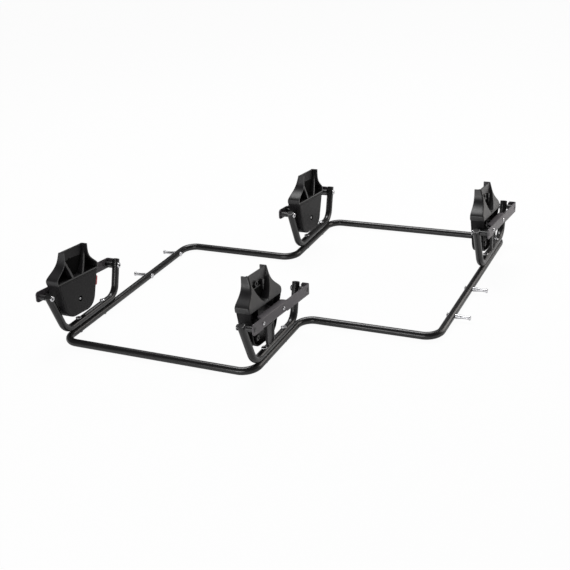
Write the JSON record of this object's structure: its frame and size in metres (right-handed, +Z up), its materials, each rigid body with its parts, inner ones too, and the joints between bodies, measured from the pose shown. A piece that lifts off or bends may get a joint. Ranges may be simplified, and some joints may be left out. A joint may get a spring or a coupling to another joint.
{
  "type": "twin car seat adapter frame for a side-by-side pushchair",
  "caption": "Stepped loop of black steel tube with U-shaped brackets that carry plastic towers, on which infant car seats click side by side over a double pushchair.",
  "frame": {"origin": "middle of the bounding box, on the plane that the rivets' tails stand on", "axes": "+X to the pushchair's right seen from behind the front bay, +Y from the front bay to the rear bay, +Z up"},
  "size_m": [0.72, 0.7002, 0.1746],
  "materials": {
    "tube": "gloss black powder coat",
    "plastic": "satin black moulding",
    "bar": "satin dark grey coat",
    "zinc": "bright zinc plate",
    "tell_tale": "gloss red"
  },
  "bodies": {
    "frame": {"frame_tube": "tube", "front_left_adapter": "plastic", "front_left_bar": "bar", "front_left_bar_rivet_front": "zinc", "front_left_bar_rivet_rear": "zinc", "front_left_bar_screw_front": "zinc", "front_left_bar_screw_rear": "zinc", "front_left_bracket": "tube", "front_left_foot_rivet_front": "zinc", "front_left_foot_rivet_rear": "zinc", "front_left_lever_pin": "zinc", "front_left_shield": "plastic", "front_left_shield_screw": "zinc", "front_left_tell_tale": "tell_tale", "front_right_adapter": "plastic", "front_right_bar": "bar", "front_right_bar_rivet_front": "zinc", "front_right_bar_rivet_rear": "zinc", "front_right_bar_screw_front": "zinc", "front_right_bar_screw_rear": "zinc", "front_right_bracket": "tube", "front_right_foot_rivet_front": "zinc", "front_right_foot_rivet_rear": "zinc", "front_right_lever_pin": "zinc", "front_right_shield": "plastic", "front_right_shield_screw": "zinc", "rear_left_adapter": "plastic", "rear_left_bar": "bar", "rear_left_bar_rivet_front": "zinc", "rear_left_bar_rivet_rear": "zinc", "rear_left_bar_screw_front": "zinc", "rear_left_bar_screw_rear": "zinc", "rear_left_bracket": "tube", "rear_left_foot_rivet_front": "zinc", "rear_left_foot_rivet_rear": "zinc", "rear_left_lever_pin": "zinc", "rear_left_shield": "plastic", "rear_left_shield_screw": "zinc", "rear_right_adapter": "plastic", "rear_right_bar": "bar", "rear_right_bar_rivet_front": "zinc", "rear_right_bar_rivet_rear": "zinc", "rear_right_bar_screw_front": "zinc", "rear_right_bar_screw_rear": "zinc", "rear_right_bracket": "tube", "rear_right_foot_rivet_front": "zinc", "rear_right_foot_rivet_rear": "zinc", "rear_right_lever_pin": "zinc", "rear_right_shield": "plastic", "rear_right_shield_screw": "zinc", "stroller_pin_left_front": "zinc", "stroller_pin_left_rear": "zinc", "stroller_pin_right_front": "zinc", "stroller_pin_right_rear": "zinc"},
    "front_left_release": {"front_left_lever": "plastic"},
    "front_right_release": {"front_right_lever": "plastic"},
    "rear_left_release": {"rear_left_lever": "plastic"},
    "rear_right_release": {"rear_right_lever": "plastic"}
  },
  "joints": [
    {"name": "front_left_release_hinge", "type": "hinge", "parent": "frame", "child": "front_left_release", "pos_m": [-0.3345, -0.26988, 0.07759], "axis": [0, 0.9932, -0.1162], "range_deg": [0, 12], "stiffness_Nm_per_rad": 0.15},
    {"name": "front_right_release_hinge", "type": "hinge", "parent": "frame", "child": "front_right_release", "pos_m": [0.0765, -0.26988, 0.07759], "axis": [0, -0.9932, 0.1162], "range_deg": [0, 12], "stiffness_Nm_per_rad": 0.15},
    {"name": "rear_left_release_hinge", "type": "hinge", "parent": "frame", "child": "rear_left_release", "pos_m": [-0.0765, 0.20612, 0.07759], "axis": [0, 0.9932, -0.1162], "range_deg": [0, 12], "stiffness_Nm_per_rad": 0.15},
    {"name": "rear_right_release_hinge", "type": "hinge", "parent": "frame", "child": "rear_right_release", "pos_m": [0.3345, 0.20612, 0.07759], "axis": [0, -0.9932, 0.1162], "range_deg": [0, 12], "stiffness_Nm_per_rad": 0.15}
  ]
}
